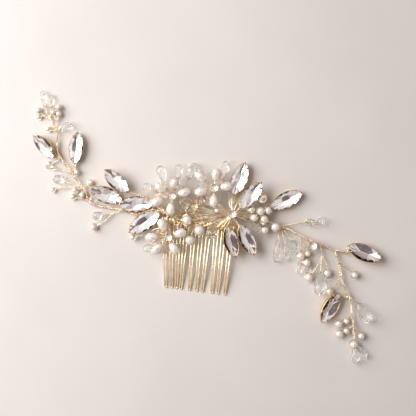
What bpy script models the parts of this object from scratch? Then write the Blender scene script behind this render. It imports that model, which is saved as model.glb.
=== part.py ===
"""Decorative hair comb: a wire comb under pearl flowers and claw-set navette stones, with two wire vines.

The comb lies on its back. +Z is the decorated side, +Y runs from the tooth tips to the flowers, and +X
to the right. The origin is the middle of the footprint, on the surface that the comb lies on.
Places and sizes in the layout lists are in millimetres, and MM turns them into metres.
"""

import math

import bmesh
import bpy
from mathutils import Matrix, Vector

MM = 0.001
LAYOUT_SHIFT = (0.15, -0.6)  # moves the whole layout so that its footprint is centred on the origin

# Comb
TOOTH_COUNT = 10
TOOTH_PITCH = 4.05  # between tooth roots, along the spine
TOOTH_WIRE = 0.9
TOOTH_ROOT_GAUGE = 2.1  # between the two wires of a hairpin, at the spine
TOOTH_TIP_GAUGE = 1.1  # the same, at the tip's loop
TIP_STEPS = (0.0, 3.1, 2.7, 2.4, 4.7, 3.8, 3.2, 5.4, 3.1, 3.8)  # hand-bent gaps from tip to tip
SPINE_ANGLE = -7.5
SPINE_LEFT = (-23.0, 4.6)  # the first tooth's root
TIP_LEFT = (-22.8, -32.0)  # the first tooth's tip
SPINE_WIDTH = 2.6
SPINE_THICKNESS = 1.2
SPINE_OVERHANG = 2.0  # past the outermost teeth
SPINE_BACK_HEIGHT = 2.1
SPINE_EDGE = 0.3  # the rounding of its edges
TOOTH_ARCH = 1.2  # how far a tooth's middle bows up
TOOTH_STEPS = 4  # stretches along one side of a hairpin
GAP = 0.35  # air between neighbouring solids

# Navette stones and their open claw settings
SETTING_HALF_LENGTH = 9.3
SETTING_HALF_WIDTH = 4.4
SETTING_HEIGHT = 3.2
SETTING_WALL = 0.45
SETTING_FLOOR = 0.5
SETTING_TAPER = 0.84  # the back's outline over the rim's
BLUNTNESS = 1.5  # of the outline's tips: 1 is an ellipse, 2 is two parabolas
RIM_CROWN = 0.1  # how far the middle of the wall stands above its edges
CLAW_RISE = 1.0
STONE_TIP_GAP = 0.5
STONE_KEEL = (0.55, 0.2)  # the keel's length and width over the girdle's
STONE_TABLE = 0.62  # the table's outline over the girdle's
STONE_CROWN = 1.3
OUTLINE_POINTS = 16
CLAW_POINTS = (0, 2, 6, 8, 10, 14)  # outline points that carry a claw

# Pearls and rhinestones
PETAL_LENGTH = 7.5
PETAL_WIDTH = 5.2
PETAL_THICKNESS = 4.9
PETAL_EGG = 0.12  # how much fuller the outer end is
PETAL_SEGMENTS = 10
PETAL_RINGS = 7
HEART_PROFILE = ((0.0, 3.5), (1.3, 3.5), (2.1, 2.7), (2.3, 2.5), (2.3, 2.0), (1.8, 0.0), (0.0, 0.0))
HEART_STEPS = 12

# Wire
STEM_RADIUS = 0.55
TWIG_RADIUS = 0.42
WIRE_RESOLUTION = 1

# Name: place of the middle of its back (x, y, z), turn from +X, pitch that lowers the far tip, lean about
# its long axis, all in degrees,
# and size. A lean above zero shows the wall on the stone's left.
NAVETTES = {
    "left_vine_tip": ((-87.4, 44.8, 1.5), -46, 0, 24, 0.88),
    "left_vine_inner": ((-71.0, 43.2, 0.6), 84, 0, 0, 0.92),
    "left_fan_outer": ((-54.8, 17.8, 0.0), -20, 0, 0, 1.0),
    "left_fan_top": ((-49.4, 25.0, 3.4), -44, 0, -8, 0.94),
    "left_fan_middle": ((-38.6, 12.8, 1.0), 3, 0, 0, 1.0),
    "left_fan_low": ((-34.2, 3.2, 2.2), 33, 0, 0, 1.06),
    "bloom_top": ((17.2, 26.6, 0.7), 70, 0, 0, 1.0),
    "bloom_top_right": ((23.0, 17.4, 5.6), 50, 4, 0, 0.97),
    "bloom_right": ((42.6, 15.1, 0.0), 26, 0, 0, 1.0),
    "bloom_low": ((11.5, -7.2, 5.1), -74, 8, -20, 0.95),
    "bloom_low_right": ((20.3, -6.2, 4.6), -64, 8, -14, 0.98),
    "right_vine_fork": ((84.3, -14.2, 1.1), -22, 0, -15, 1.06),
    "right_vine_low": ((65.4, -42.6, 1.5), 59, 0, 20, 0.98),
}

# Name: heart (x, y, z of its back), then each petal's direction in degrees, distance, height and pitch
FLOWERS = {
    "flower_left": (
        (-19.2, 17.3, 6.9),
        ((144, 7.4, 7.4, 0), (77, 6.3, 8.8, -38), (14, 6.8, 7.4, 0), (-94, 7.0, 7.4, 0), (-158, 8.4, 7.5, 3)),
    ),
    "flower_low": (
        (-21.3, -4.9, 6.6),
        ((113, 7.0, 7.2, 0), (18, 6.8, 7.2, 0), (180, 8.5, 7.0, 4), (-133, 8.4, 7.0, 4), (-61, 6.8, 7.2, 0)),
    ),
    "flower_top": (
        (3.5, 21.6, 7.1),
        ((81, 7.1, 7.5, 0), (141, 9.3, 7.4, 4), (-163, 7.3, 7.6, 0), (-90, 7.0, 7.6, 0), (5, 6.6, 7.6, 0)),
    ),
}
BLOOM_HEART = (13.2, 7.6, 6.2)

# A sprig is a wire's route and what it carries at its end: a pearl of some radius, or a glass drop of
# some length and width. A route that carries nothing is a stem.
CENTRE_SPRIGS = (
    (((-59.6, 11.9, 1.3), (-46.7, 9.6, 1.6), (-38.0, 7.4, 2.2), (-31.0, 9.7, 3.4), (-22.0, 8.3, 4.1),
      (-10.0, 6.0, 4.1), (3.0, 5.6, 4.1), (14.0, 5.6, 4.1), (24.0, 4.6, 3.2), (33.2, 3.5, 1.9)), None),
    (((-46.7, 9.6, 1.6), (-51.6, 7.5, 1.5), (-59.7, 6.5, 2.4)), ("drop", 5.2, 5.0)),
    (((-51.6, 7.5, 1.5), (-56.0, 3.4, 1.5), (-61.8, 0.5, 1.9)), ("pearl", 1.9)),
    (((-22.0, 8.3, 4.1), (-26.2, 12.6, 4.2), (-27.6, 19.5, 4.2), (-32.7, 22.1, 4.4)), ("drop", 5.0, 5.0)),
    (((-22.0, 8.3, 4.1), (-19.3, 14.5, 4.1), (-19.2, 17.3, 5.9)), None),
    (((-19.3, 14.5, 4.1), (-22.0, 22.0, 4.1), (-24.4, 29.2, 4.6)), ("drop", 9.7, 5.6)),
    (((-19.3, 14.5, 4.1), (-16.8, 23.0, 4.1), (-15.8, 30.4, 4.2)), ("drop", 8.0, 5.2)),
    (((-19.3, 14.5, 4.1), (-12.2, 23.4, 4.1), (-8.6, 30.6, 3.4)), ("drop", 9.7, 5.6)),
    (((-22.0, 8.3, 4.1), (-21.2, -2.0, 4.3), (-21.3, -4.9, 5.6)), None),
    (((-21.2, -2.0, 4.3), (-28.0, -7.0, 4.0), (-32.7, -11.0, 3.4)), ("drop", 4.4, 4.4)),
    (((-21.2, -2.0, 4.3), (-30.0, -3.2, 4.0), (-40.6, -5.0, 3.0)), ("pearl", 1.6)),
    (((-22.0, 8.3, 4.1), (-15.0, 4.6, 5.0), (-11.0, 4.2, 6.8)), ("pearl", 2.9)),
    (((-10.0, 6.0, 4.1), (-6.0, 2.0, 4.6), (-4.4, -1.2, 6.9)), ("pearl", 3.0)),
    (((-6.0, 2.0, 4.6), (-8.0, -2.4, 4.8), (-9.5, -6.6, 6.7)), ("pearl", 2.7)),
    (((-10.0, 6.0, 4.1), (-2.0, 13.0, 4.1), (3.5, 18.6, 4.1), (3.5, 21.6, 6.1)), None),
    (((3.5, 18.6, 4.1), (8.0, 25.0, 4.1), (9.3, 31.8, 4.2)), ("drop", 9.0, 5.0)),
    (((3.0, 5.6, 4.1), (3.2, 2.0, 4.8), (2.4, -1.6, 7.2)), ("drop", 9.7, 6.2)),
    (((3.0, 5.6, 4.1), (3.6, 7.6, 5.4), (5.1, 9.4, 6.6)), ("pearl", 1.4)),
    (((14.0, 5.6, 4.1), (13.5, 6.8, 4.8), (13.2, 7.6, 5.2)), None),
    (((24.0, 4.6, 3.2), (24.4, 7.0, 4.0), (23.6, 9.9, 5.4)), ("pearl", 2.2)),
    (((24.0, 4.6, 3.2), (27.0, 7.0, 4.6), (28.6, 9.0, 5.4)), ("pearl", 2.4)),
    (((27.0, 7.0, 4.6), (31.0, 8.6, 4.4), (32.7, 9.4, 4.4)), ("pearl", 2.2)),
    (((24.0, 4.6, 3.2), (25.0, 5.0, 5.0), (25.1, 5.4, 6.6)), ("pearl", 2.2)),
    (((24.0, 4.6, 3.2), (28.0, 4.4, 4.0), (30.5, 4.6, 5.0)), ("pearl", 2.4)),
    (((24.0, 4.6, 3.2), (28.6, 1.6, 3.4), (30.8, -1.2, 4.0)), ("pearl", 2.2)),
    (((24.0, 4.6, 3.2), (25.0, 2.4, 3.6), (25.9, 0.1, 4.6)), ("drop", 5.6, 5.8)),
    (((24.0, 4.6, 3.2), (24.6, 5.4, 2.4), (27.6, 6.8, 1.8), (29.8, 15.9, 2.7)), ("drop", 5.0, 5.0)),
)
LEFT_VINE_SPRIGS = (
    (((-60.2, 12.4, 1.4), (-62.4, 12.6, 1.5), (-64.6, 15.1, 1.7), (-67.2, 21.6, 2.0), (-73.2, 29.2, 2.3),
      (-79.7, 38.3, 2.4), (-81.3, 42.6, 2.4), (-81.8, 52.4, 2.2), (-85.1, 58.9, 2.0),
      (-87.6, 64.8, 1.8)), None),
    (((-67.2, 21.6, 2.0), (-69.6, 21.2, 1.8), (-71.9, 20.5, 1.6)), ("pearl", 1.6)),
    (((-67.2, 21.6, 2.0), (-65.0, 23.2, 1.8), (-63.4, 24.6, 1.6)), ("pearl", 1.6)),
    (((-65.2, 16.6, 1.8), (-66.6, 17.0, 1.7), (-68.0, 17.9, 1.7)), ("pearl", 1.6)),
    (((-64.2, 14.5, 1.65), (-63.2, 14.9, 2.1), (-62.2, 14.8, 2.4)), ("drop", 3.2, 3.2)),
    (((-69.6, 21.2, 1.8), (-77.0, 21.8, 1.8), (-84.0, 20.6, 1.6)), ("pearl", 1.2)),
    (((-73.2, 29.2, 2.3), (-72.0, 29.8, 2.3), (-70.9, 30.2, 2.3)), ("pearl", 1.5)),
    (((-79.7, 38.3, 2.4), (-82.6, 35.6, 1.4), (-85.8, 34.5, 1.5)), ("pearl", 1.3)),
    (((-64.6, 15.1, 1.7), (-69.0, 15.9, 1.7), (-73.2, 16.9, 1.6)), ("pearl", 1.6)),
    (((-67.2, 21.6, 2.0), (-74.0, 24.0, 2.2), (-80.6, 26.2, 2.6)), ("drop", 6.2, 5.4)),
    (((-73.2, 29.2, 2.3), (-79.6, 31.2, 2.2), (-85.4, 33.0, 1.6)), ("drop", 5.6, 3.0)),
    (((-73.2, 29.2, 2.3), (-71.6, 32.0, 1.8), (-71.0, 34.4, 0.9)), None),
    (((-79.7, 38.3, 2.4), (-80.4, 38.5, 2.0), (-81.2, 38.5, 1.4)), None),
    (((-81.8, 52.4, 2.2), (-79.6, 53.4, 2.6), (-76.8, 54.6, 2.6)), ("drop", 7.2, 4.6)),
    (((-81.8, 52.4, 2.2), (-84.2, 53.0, 1.8), (-86.6, 53.6, 1.5)), ("pearl", 1.4)),
    (((-81.8, 52.4, 2.2), (-81.8, 57.4, 2.4), (-80.7, 61.8, 2.0)), ("pearl", 1.6)),
    (((-81.8, 57.4, 2.4), (-80.2, 61.5, 2.4), (-80.7, 65.5, 2.2)), ("pearl", 1.6)),
    (((-81.8, 57.4, 2.4), (-82.8, 60.0, 2.8), (-83.4, 62.6, 3.0)), ("pearl", 1.4)),
    (((-88.4, 60.6, 1.8), (-90.0, 60.6, 1.7), (-91.7, 60.2, 1.5)), ("pearl", 1.4)),
    (((-85.1, 58.9, 2.0), (-88.4, 60.6, 1.8), (-91.8, 63.8, 1.6)), ("pearl", 1.6)),
    (((-85.1, 58.9, 2.0), (-85.0, 64.0, 2.0), (-84.8, 68.6, 1.7)), ("drop", 7.2, 2.9)),
    (((-87.6, 64.8, 1.8), (-88.3, 67.4, 1.8), (-88.8, 70.0, 1.8)), ("drop", 9.2, 3.3)),
)
RIGHT_VINE_SPRIGS = (
    (((33.9, 3.1, 1.9), (39.7, 1.0, 2.0), (48.3, -3.2, 2.4), (55.4, -7.0, 2.4), (60.8, -8.6, 2.4),
      (68.0, -12.0, 2.2), (74.3, -13.5, 1.8), (76.4, -13.9, 1.4)), None),
    (((36.8, 2.1, 2.0), (37.0, 1.3, 2.6), (36.8, 0.5, 3.6)), ("pearl", 2.6)),
    (((39.7, 1.0, 2.0), (47.3, 2.2, 2.2), (55.6, 3.2, 2.4)), ("drop", 4.6, 4.4)),
    (((47.3, 2.2, 2.2), (54.0, 3.1, 2.4), (61.0, 3.7, 2.4)), ("drop", 4.6, 4.4)),
    (((39.7, 1.0, 2.0), (38.4, -5.0, 2.4), (37.6, -12.6, 2.4)), ("drop", 12.5, 4.2)),
    (((39.7, 1.0, 2.0), (41.4, -6.0, 2.4), (42.6, -13.4, 2.0)), ("drop", 9.0, 3.6)),
    (((39.7, 1.0, 2.0), (43.8, -4.6, 2.6), (45.6, -9.4, 3.6)), ("drop", 6.6, 7.0)),
    (((48.3, -3.2, 2.4), (50.6, -8.0, 2.4), (50.5, -15.1, 2.4)), ("pearl", 2.2)),
    (((50.6, -8.0, 2.4), (53.0, -10.6, 2.2), (54.3, -14.0, 2.0)), ("pearl", 1.7)),
    (((50.5, -15.1, 2.4), (52.4, -17.0, 2.4), (53.7, -19.0, 2.4)), ("pearl", 2.2)),
    (((50.5, -15.1, 2.4), (50.2, -18.6, 2.0), (49.8, -21.6, 1.8)), ("drop", 7.4, 3.4)),
    (((53.7, -19.0, 2.4), (54.2, -20.6, 2.0), (54.4, -22.8, 1.8)), ("drop", 6.4, 3.4)),
    (((55.4, -7.0, 2.4), (56.0, -8.8, 2.4), (56.4, -9.6, 3.0)), ("drop", 4.6, 4.8)),
    (((60.8, -8.6, 2.4), (61.8, -15.1, 2.4), (59.0, -21.0, 2.4), (54.9, -26.8, 2.6)), ("pearl", 2.4)),
    (((61.8, -15.1, 2.4), (61.2, -22.0, 2.8), (60.6, -30.2, 3.4)), ("drop", 12.6, 6.6)),
    (((61.8, -15.1, 2.4), (64.0, -19.0, 2.2), (64.9, -24.6, 2.2)), ("pearl", 2.1)),
)
RIGHT_TIP_SPRIGS = (
    (((69.6, -14.4, 2.1), (70.5, -18.4, 2.2), (72.4, -25.0, 2.4), (73.0, -29.7, 2.6), (76.4, -37.0, 2.6),
      (77.9, -45.4, 2.6), (78.8, -53.0, 2.6), (79.1, -60.0, 2.6), (79.1, -63.2, 2.6)), ("pearl", 2.4)),
    (((70.5, -18.4, 2.2), (71.4, -27.0, 2.2), (68.6, -32.6, 2.2), (65.8, -34.4, 2.2)), ("pearl", 2.1)),
    (((70.5, -18.4, 2.2), (75.0, -21.4, 2.0), (79.8, -25.6, 1.9)), ("pearl", 1.9)),
    (((76.4, -37.0, 2.6), (74.6, -37.4, 1.6), (73.0, -36.6, 1.2)), None),
    (((76.4, -37.0, 2.6), (80.6, -40.6, 3.0), (84.0, -45.8, 3.4)), ("drop", 12.6, 6.4)),
    (((77.9, -45.4, 2.6), (75.6, -49.4, 2.4), (71.0, -52.0, 2.4)), ("pearl", 2.2)),
    (((77.9, -45.4, 2.6), (76.6, -48.4, 2.2), (75.3, -50.6, 1.8)), ("pearl", 1.7)),
    (((78.8, -53.0, 2.6), (75.6, -55.0, 2.4), (71.2, -57.4, 2.4)), ("pearl", 2.2)),
    (((78.8, -53.0, 2.6), (77.0, -54.6, 2.2), (75.3, -55.8, 1.8)), ("pearl", 1.7)),
    (((78.8, -53.0, 2.6), (81.6, -55.4, 2.2), (83.2, -58.6, 2.0)), ("pearl", 1.9)),
    (((79.1, -63.2, 2.6), (79.5, -66.0, 2.6), (79.7, -69.0, 2.5)), ("drop", 8.8, 4.8)),
    (((79.1, -63.2, 2.6), (81.8, -64.6, 2.0), (84.0, -67.2, 1.7)), ("drop", 8.6, 3.2)),
)
PEARL_SEGMENTS = 8
PEARL_RINGS = 5
DROP_SIDES = 6
DROP_PROFILE = ((-1.0, 0.12), (-0.1, 0.9), (0.35, 1.0), (1.0, 0.2))  # shares of half the length and the width
ROUTE_STEPS = 2  # points per stretch of a route
LONG_ROUTE = 6  # a route with this many points or more is a stem even if it carries a bead
MERGE_DISTANCE = 0.0001


def clear_scene():
    for obj in list(bpy.data.objects):
        bpy.data.objects.remove(obj, do_unlink=True)


def make_collection(name):
    found = bpy.data.collections.new(name)
    bpy.context.scene.collection.children.link(found)
    return found


def make_material(name, colour, roughness, metallic):
    mat = bpy.data.materials.new(name)
    mat.use_nodes = True
    shader = mat.node_tree.nodes["Principled BSDF"]
    shader.inputs["Base Color"].default_value = (*colour, 1.0)
    shader.inputs["Roughness"].default_value = roughness
    shader.inputs["Metallic"].default_value = metallic
    return mat


clear_scene()
COMB = make_collection("decorative_hair_comb")
GOLD = make_material("gold_wire", (0.83, 0.62, 0.33), 0.28, 1.0)
PEARL = make_material("pearl", (0.93, 0.88, 0.82), 0.25, 0.0)
CRYSTAL = make_material("crystal", (0.80, 0.82, 0.86), 0.08, 0.6)


def placed(x, y, z):
    """A point of the layout, in metres."""
    return Vector((x + LAYOUT_SHIFT[0], y + LAYOUT_SHIFT[1], z)) * MM


def add_object(name, mesh, material, transform=None, smooth=True):
    mesh.materials.clear()
    mesh.materials.append(material)
    if smooth:
        mesh.shade_smooth()
        mesh.set_sharp_from_angle(angle=math.radians(40))
    obj = bpy.data.objects.new(name, mesh)
    COMB.objects.link(obj)
    if transform is not None:
        obj.matrix_world = transform
    return obj


def stand(place, turn, pitch=0.0, lean=0.0):
    """Where a piece modelled along +X with its back at z = 0 goes."""
    return (
        Matrix.Translation(placed(*place))
        @ Matrix.Rotation(math.radians(turn), 4, "Z")
        @ Matrix.Rotation(math.radians(pitch), 4, "Y")
        @ Matrix.Rotation(math.radians(lean), 4, "X")
    )


def navette_ring(half_length, half_width, z, rise=0.0):
    """A pointed oval. Rise lifts the points that carry claws."""
    ring = []
    for i in range(OUTLINE_POINTS):
        angle = 2 * math.pi * i / OUTLINE_POINTS
        x = half_length * math.cos(angle)
        sine = math.sin(angle)
        y = half_width * math.copysign(abs(sine) ** BLUNTNESS, sine)
        height = z + (rise if i in CLAW_POINTS else 0.0)
        ring.append(Vector((x, y, height)) * MM)
    return ring


def loft(rings):
    """One closed mesh through rings of equal length, capped at the first and the last."""
    bm = bmesh.new()
    loops = [[bm.verts.new(point) for point in ring] for ring in rings]
    count = len(loops[0])
    for low, high in zip(loops, loops[1:]):
        for i in range(count):
            j = (i + 1) % count
            bm.faces.new((low[i], low[j], high[j], high[i]))
    bm.faces.new(reversed(loops[0]))
    bm.faces.new(loops[-1])
    bmesh.ops.recalc_face_normals(bm, faces=bm.faces)
    mesh = bpy.data.meshes.new("loft")
    bm.to_mesh(mesh)
    bm.free()
    return mesh


def setting_mesh():
    """An open cup with a flat back, whose rim rises into claws."""
    inner_length = SETTING_HALF_LENGTH - SETTING_WALL
    inner_width = SETTING_HALF_WIDTH - SETTING_WALL
    taper = SETTING_TAPER
    half_wall = SETTING_WALL / 2
    middle_height = SETTING_HEIGHT + RIM_CROWN
    return loft(
        [
            navette_ring(SETTING_HALF_LENGTH * taper, SETTING_HALF_WIDTH * taper, 0.0),
            navette_ring(SETTING_HALF_LENGTH, SETTING_HALF_WIDTH, SETTING_HEIGHT),
            navette_ring(inner_length + half_wall, inner_width + half_wall, middle_height, CLAW_RISE),
            navette_ring(inner_length, inner_width, SETTING_HEIGHT),
            navette_ring(inner_length * taper, inner_width * taper, SETTING_FLOOR),
        ]
    )


def stone_mesh():
    """A cut stone: a keel, a narrow girdle and a flat table, clear of the setting all round."""
    length = SETTING_HALF_LENGTH - SETTING_WALL - STONE_TIP_GAP
    width = SETTING_HALF_WIDTH - SETTING_WALL - GAP
    girdle = SETTING_HEIGHT - GAP
    keel_length, keel_width = STONE_KEEL
    return loft(
        [
            navette_ring(length * keel_length, width * keel_width, SETTING_FLOOR + GAP),
            navette_ring(length, width, girdle),
            navette_ring(length, width, girdle + GAP),
            navette_ring(length * STONE_TABLE, width * STONE_TABLE, girdle + STONE_CROWN),
        ]
    )


def make_navettes():
    setting, stone = setting_mesh(), stone_mesh()
    for name, (place, turn, pitch, lean, size) in NAVETTES.items():
        where = stand(place, turn, pitch, lean) @ Matrix.Scale(size, 4)
        add_object(f"{name}_setting", setting, GOLD, where, smooth=False)
        add_object(f"{name}_stone", stone, CRYSTAL, where, smooth=False)


def petal_mesh():
    """A rice pearl: a ball drawn out along X and a little fuller at its outer end."""
    bm = bmesh.new()
    bmesh.ops.create_uvsphere(bm, u_segments=PETAL_SEGMENTS, v_segments=PETAL_RINGS, radius=1.0)
    bmesh.ops.rotate(bm, verts=bm.verts, matrix=Matrix.Rotation(math.pi / 2, 3, "Y"))
    for vert in bm.verts:
        full = 1 + PETAL_EGG * vert.co.x
        vert.co.x *= PETAL_LENGTH / 2 * MM
        vert.co.y *= PETAL_WIDTH / 2 * MM * full
        vert.co.z *= PETAL_THICKNESS / 2 * MM * full
    mesh = bpy.data.meshes.new("petal")
    bm.to_mesh(mesh)
    bm.free()
    return mesh


def make_heart(name, place):
    """A round stone in a cup, turned in one piece."""
    mesh = bpy.data.meshes.new(name)
    points = [(x * MM, 0.0, z * MM) for x, z in HEART_PROFILE]
    mesh.from_pydata(points, [(i, i + 1) for i in range(len(points) - 1)], [])
    obj = add_object(name, mesh, CRYSTAL, Matrix.Translation(placed(*place)), smooth=False)
    screw = obj.modifiers.new("turn", "SCREW")
    screw.axis = "Z"
    screw.steps = HEART_STEPS
    screw.render_steps = HEART_STEPS
    screw.use_merge_vertices = True
    screw.merge_threshold = MERGE_DISTANCE * MM


def make_flowers():
    petal = petal_mesh()
    for name, (heart, petals) in FLOWERS.items():
        make_heart(f"{name}_heart", heart)
        for i, (turn, distance, height, pitch) in enumerate(petals, 1):
            x = heart[0] + distance * math.cos(math.radians(turn))
            y = heart[1] + distance * math.sin(math.radians(turn))
            add_object(f"{name}_petal_{i}", petal, PEARL, stand((x, y, height), turn, pitch))
    make_heart("bloom_heart", BLOOM_HEART)


def smooth_route(points):
    """Points on a smooth curve through the route's own points."""
    points = [Vector(p) for p in points]
    route = []
    for i in range(len(points) - 1):
        before = points[max(i - 1, 0)]
        start, end = points[i], points[i + 1]
        after = points[min(i + 2, len(points) - 1)]
        for step in range(ROUTE_STEPS):
            t = step / ROUTE_STEPS
            route.append(
                0.5
                * (
                    2 * start
                    + (end - before) * t
                    + (2 * before - 5 * start + 4 * end - after) * t**2
                    + (3 * start - before - 3 * end + after) * t**3
                )
            )
    route.append(points[-1])
    return route


def tube(name, route, radius):
    """A round wire along a route of millimetre points, as a curve object."""
    curve = bpy.data.curves.new(name, "CURVE")
    curve.dimensions = "3D"
    curve.bevel_depth = radius * MM
    curve.bevel_resolution = WIRE_RESOLUTION
    curve.use_fill_caps = True
    spline = curve.splines.new("POLY")
    spline.points.add(len(route) - 1)
    for point, place in zip(spline.points, route):
        point.co = (*placed(*place), 1.0)
    obj = bpy.data.objects.new(name, curve)
    COMB.objects.link(obj)
    return obj


def tube_mesh(route, radius):
    """The same wire as a closed mesh, for joining."""
    obj = tube("wire", route, radius)
    shown = obj.evaluated_get(bpy.context.evaluated_depsgraph_get())
    mesh = bpy.data.meshes.new_from_object(shown)
    bm = bmesh.new()
    bm.from_mesh(mesh)
    bmesh.ops.remove_doubles(bm, verts=bm.verts, dist=MERGE_DISTANCE * MM)
    bm.to_mesh(mesh)
    bm.free()
    bpy.data.objects.remove(obj, do_unlink=True)
    return mesh


def pearl_mesh(place, radius):
    bm = bmesh.new()
    bmesh.ops.create_uvsphere(bm, u_segments=PEARL_SEGMENTS, v_segments=PEARL_RINGS, radius=radius * MM)
    bmesh.ops.translate(bm, verts=bm.verts, vec=placed(*place))
    mesh = bpy.data.meshes.new("pearl")
    bm.to_mesh(mesh)
    bm.free()
    return mesh


def drop_mesh(place, along, length, width):
    """A faceted drop whose belly is nearer its far end, lying along a direction."""
    turn = Vector((0, 0, 1)).rotation_difference(Vector(along))
    rings = []
    for reach, share in DROP_PROFILE:
        z = reach * length / 2
        radius = share * width / 2
        ring = []
        for i in range(DROP_SIDES):
            angle = 2 * math.pi * i / DROP_SIDES
            point = Vector((radius * math.cos(angle), radius * math.sin(angle), z))
            ring.append(turn @ point * MM + placed(*place))
        rings.append(ring)
    return loft(rings)


def join(name, meshes, material):
    """One closed body from meshes that run into each other."""
    whole = add_object(name, meshes[0], material, smooth=False)
    for mesh in meshes[1:]:
        other = bpy.data.objects.new("joined", mesh)
        COMB.objects.link(other)
        union = whole.modifiers.new("join", "BOOLEAN")
        union.operation = "UNION"
        union.object = other
        bpy.context.view_layer.update()
        shown = whole.evaluated_get(bpy.context.evaluated_depsgraph_get())
        result = bpy.data.meshes.new_from_object(shown)
        whole.modifiers.remove(union)
        whole.data = result
        bpy.data.objects.remove(other, do_unlink=True)
    whole.data.materials.clear()
    whole.data.materials.append(material)
    return whole


def make_sprigs(name, sprigs):
    """A stem with its side wires and the beads that they are threaded through."""
    meshes = []
    for points, bead in sprigs:
        route = smooth_route(points)
        radius = STEM_RADIUS if bead is None or len(points) >= LONG_ROUTE else TWIG_RADIUS
        meshes.append(tube_mesh(route, radius))
        if bead is None:
            continue
        kind, *sizes = bead
        if kind == "pearl":
            meshes.append(pearl_mesh(points[-1], *sizes))
        else:
            meshes.append(drop_mesh(points[-1], route[-1] - route[-2], *sizes))
    return join(name, meshes, GOLD)


def make_spine():
    """A flat bar with rounded edges, along the tooth roots."""
    length = (TOOTH_COUNT - 1) * TOOTH_PITCH + 2 * SPINE_OVERHANG
    bm = bmesh.new()
    bmesh.ops.create_cube(bm, size=1.0)
    bmesh.ops.scale(bm, verts=bm.verts, vec=Vector((length, SPINE_WIDTH, SPINE_THICKNESS)) * MM)
    lift = Vector((length / 2 - SPINE_OVERHANG, 0.0, SPINE_THICKNESS / 2))
    bmesh.ops.translate(bm, verts=bm.verts, vec=lift * MM)
    mesh = bpy.data.meshes.new("comb_spine")
    bm.to_mesh(mesh)
    bm.free()
    obj = add_object("comb_spine", mesh, GOLD, stand((*SPINE_LEFT, SPINE_BACK_HEIGHT), SPINE_ANGLE), False)
    bevel = obj.modifiers.new("edges", "BEVEL")
    bevel.width = SPINE_EDGE * MM
    bevel.segments = 2


def tooth_route(root, tip, root_height):
    """A hairpin: down one side, round the loop at the tip, and back up, bowed away from the surface."""
    along = (tip - root).normalized()
    across = Vector((-along.y, along.x))
    run = (tip - root).length
    loop = TOOTH_TIP_GAUGE / 2
    tip_height = TOOTH_WIRE / 2

    def side_point(t, sign):
        gauge = TOOTH_ROOT_GAUGE + (TOOTH_TIP_GAUGE - TOOTH_ROOT_GAUGE) * t
        flat = root + along * (run - loop) * t + across * (sign * gauge / 2)
        height = root_height + (tip_height - root_height) * t + TOOTH_ARCH * math.sin(math.pi * t)
        return Vector((flat.x, flat.y, height))

    down = [side_point(i / TOOTH_STEPS, 1) for i in range(TOOTH_STEPS + 1)]
    up = [side_point(i / TOOTH_STEPS, -1) for i in reversed(range(TOOTH_STEPS + 1))]
    centre = root + along * (run - loop)
    bend = []
    for i in (1, 2, 3):
        angle = math.pi * i / 4
        flat = centre + along * (loop * math.sin(angle)) + across * (loop * math.cos(angle))
        bend.append(Vector((flat.x, flat.y, tip_height)))
    return down + bend + up


def make_teeth():
    spine_way = Vector((math.cos(math.radians(SPINE_ANGLE)), math.sin(math.radians(SPINE_ANGLE))))
    down_way = Vector((spine_way.y, -spine_way.x))
    root_height = SPINE_BACK_HEIGHT + SPINE_THICKNESS / 2
    reach = 0.0
    for i in range(TOOTH_COUNT):
        reach += TIP_STEPS[i]
        edge = down_way * (SPINE_WIDTH / 2 + GAP)
        root = Vector(SPINE_LEFT) + spine_way * (TOOTH_PITCH * i) + edge
        tip = Vector(TIP_LEFT) + spine_way * reach
        tooth = tube(f"comb_tooth_{i + 1:02d}", tooth_route(root, tip, root_height), TOOTH_WIRE / 2)
        tooth.data.materials.append(GOLD)


make_spine()
make_teeth()
make_navettes()
make_flowers()
make_sprigs("centre_wires", CENTRE_SPRIGS)
make_sprigs("left_vine_wires", LEFT_VINE_SPRIGS)
make_sprigs("right_vine_wires", RIGHT_VINE_SPRIGS)
make_sprigs("right_tip_wires", RIGHT_TIP_SPRIGS)
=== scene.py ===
"""Looks for a decorative hair comb: twisted gold wire, claw-set navette stones, pearl flowers, round pearls
and glass drops on a wire comb, lying on a pale floor.

Places and sizes are in millimetres, in the part's own layout, and LAYOUT turns them into the frame's metres.
"""

import random
from math import copysign, cos, pi, radians, sin

import bmesh
import bpy
from mathutils import Matrix, Vector, noise


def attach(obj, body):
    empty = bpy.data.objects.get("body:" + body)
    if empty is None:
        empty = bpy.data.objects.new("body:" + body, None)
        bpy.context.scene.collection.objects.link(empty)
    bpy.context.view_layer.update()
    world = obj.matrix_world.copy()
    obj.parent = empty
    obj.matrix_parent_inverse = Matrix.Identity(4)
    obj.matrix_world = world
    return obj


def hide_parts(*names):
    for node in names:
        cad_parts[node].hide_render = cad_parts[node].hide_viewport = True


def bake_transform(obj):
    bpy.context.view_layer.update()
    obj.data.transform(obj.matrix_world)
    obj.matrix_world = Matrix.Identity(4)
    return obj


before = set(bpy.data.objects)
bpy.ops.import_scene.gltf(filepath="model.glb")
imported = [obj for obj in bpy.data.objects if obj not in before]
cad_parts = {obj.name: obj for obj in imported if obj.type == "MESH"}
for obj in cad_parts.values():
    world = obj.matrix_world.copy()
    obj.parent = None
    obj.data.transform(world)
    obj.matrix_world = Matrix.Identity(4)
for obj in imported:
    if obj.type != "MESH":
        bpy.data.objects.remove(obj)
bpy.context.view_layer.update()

MM = 0.001
LAYOUT_SHIFT = (0.15, -0.6, 0.0)  # centres the part
LAYOUT = Matrix.Scale(MM, 4) @ Matrix.Translation(LAYOUT_SHIFT)
UP = Vector((0.0, 0.0, 1.0))
WIRE_SMOOTH = 60  # degrees: an edge on wire or pearl that is sharper than this stays sharp
CUP_SMOOTH = 50

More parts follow.
